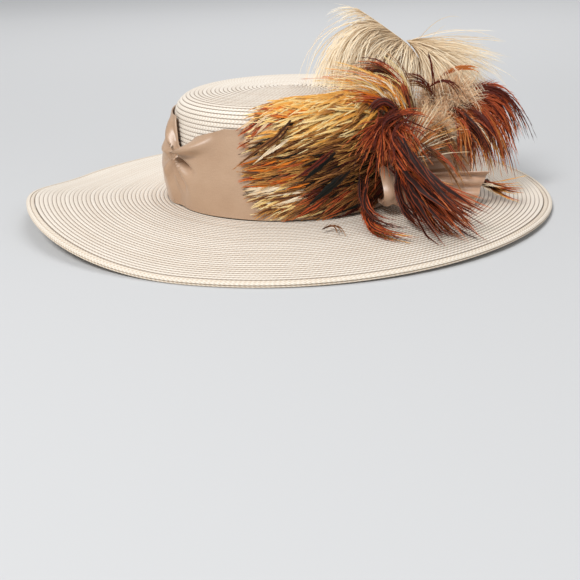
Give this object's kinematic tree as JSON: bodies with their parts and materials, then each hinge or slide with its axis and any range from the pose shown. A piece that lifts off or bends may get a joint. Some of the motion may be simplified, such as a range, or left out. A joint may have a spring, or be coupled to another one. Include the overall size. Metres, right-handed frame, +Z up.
{
  "type": "feathered straw hat",
  "caption": "Wide-brimmed straw hat that rests on its brim, with a hollow crown, a draped satin band, a satin bow and a posy of feathers and plumes.",
  "frame": {"origin": "on the surface that the hat rests on, under the middle of its box", "axes": "+Z up through the crown's top, -Y towards the front, +X towards the side with the posy"},
  "size_m": [0.45, 0.448, 0.1563],
  "materials": {
    "straw": "sewn straw braid, satin sheen",
    "satin": "satin",
    "hackle_gold": "glossy feather, golden to brown",
    "hackle_rust": "glossy feather, rust to black",
    "plume_flue": "soft champagne flue"
  },
  "bodies": {
    "root": {"crown": "straw", "brim": "straw", "edge_braid": "straw", "satin_band": "satin", "bow_knot": "satin", "bow_loop_front": "satin", "bow_loop_side": "satin", "bow_tail": "satin", "hackle_pad": "hackle_gold", "hackle_crest": "hackle_gold", "hackle_spray": "hackle_rust", "hackle_cascade": "hackle_rust", "side_feather": "hackle_rust", "flue_tuft": "plume_flue", "plume_left": "plume_flue", "plume_right": "plume_flue"}
  },
  "joints": []
}
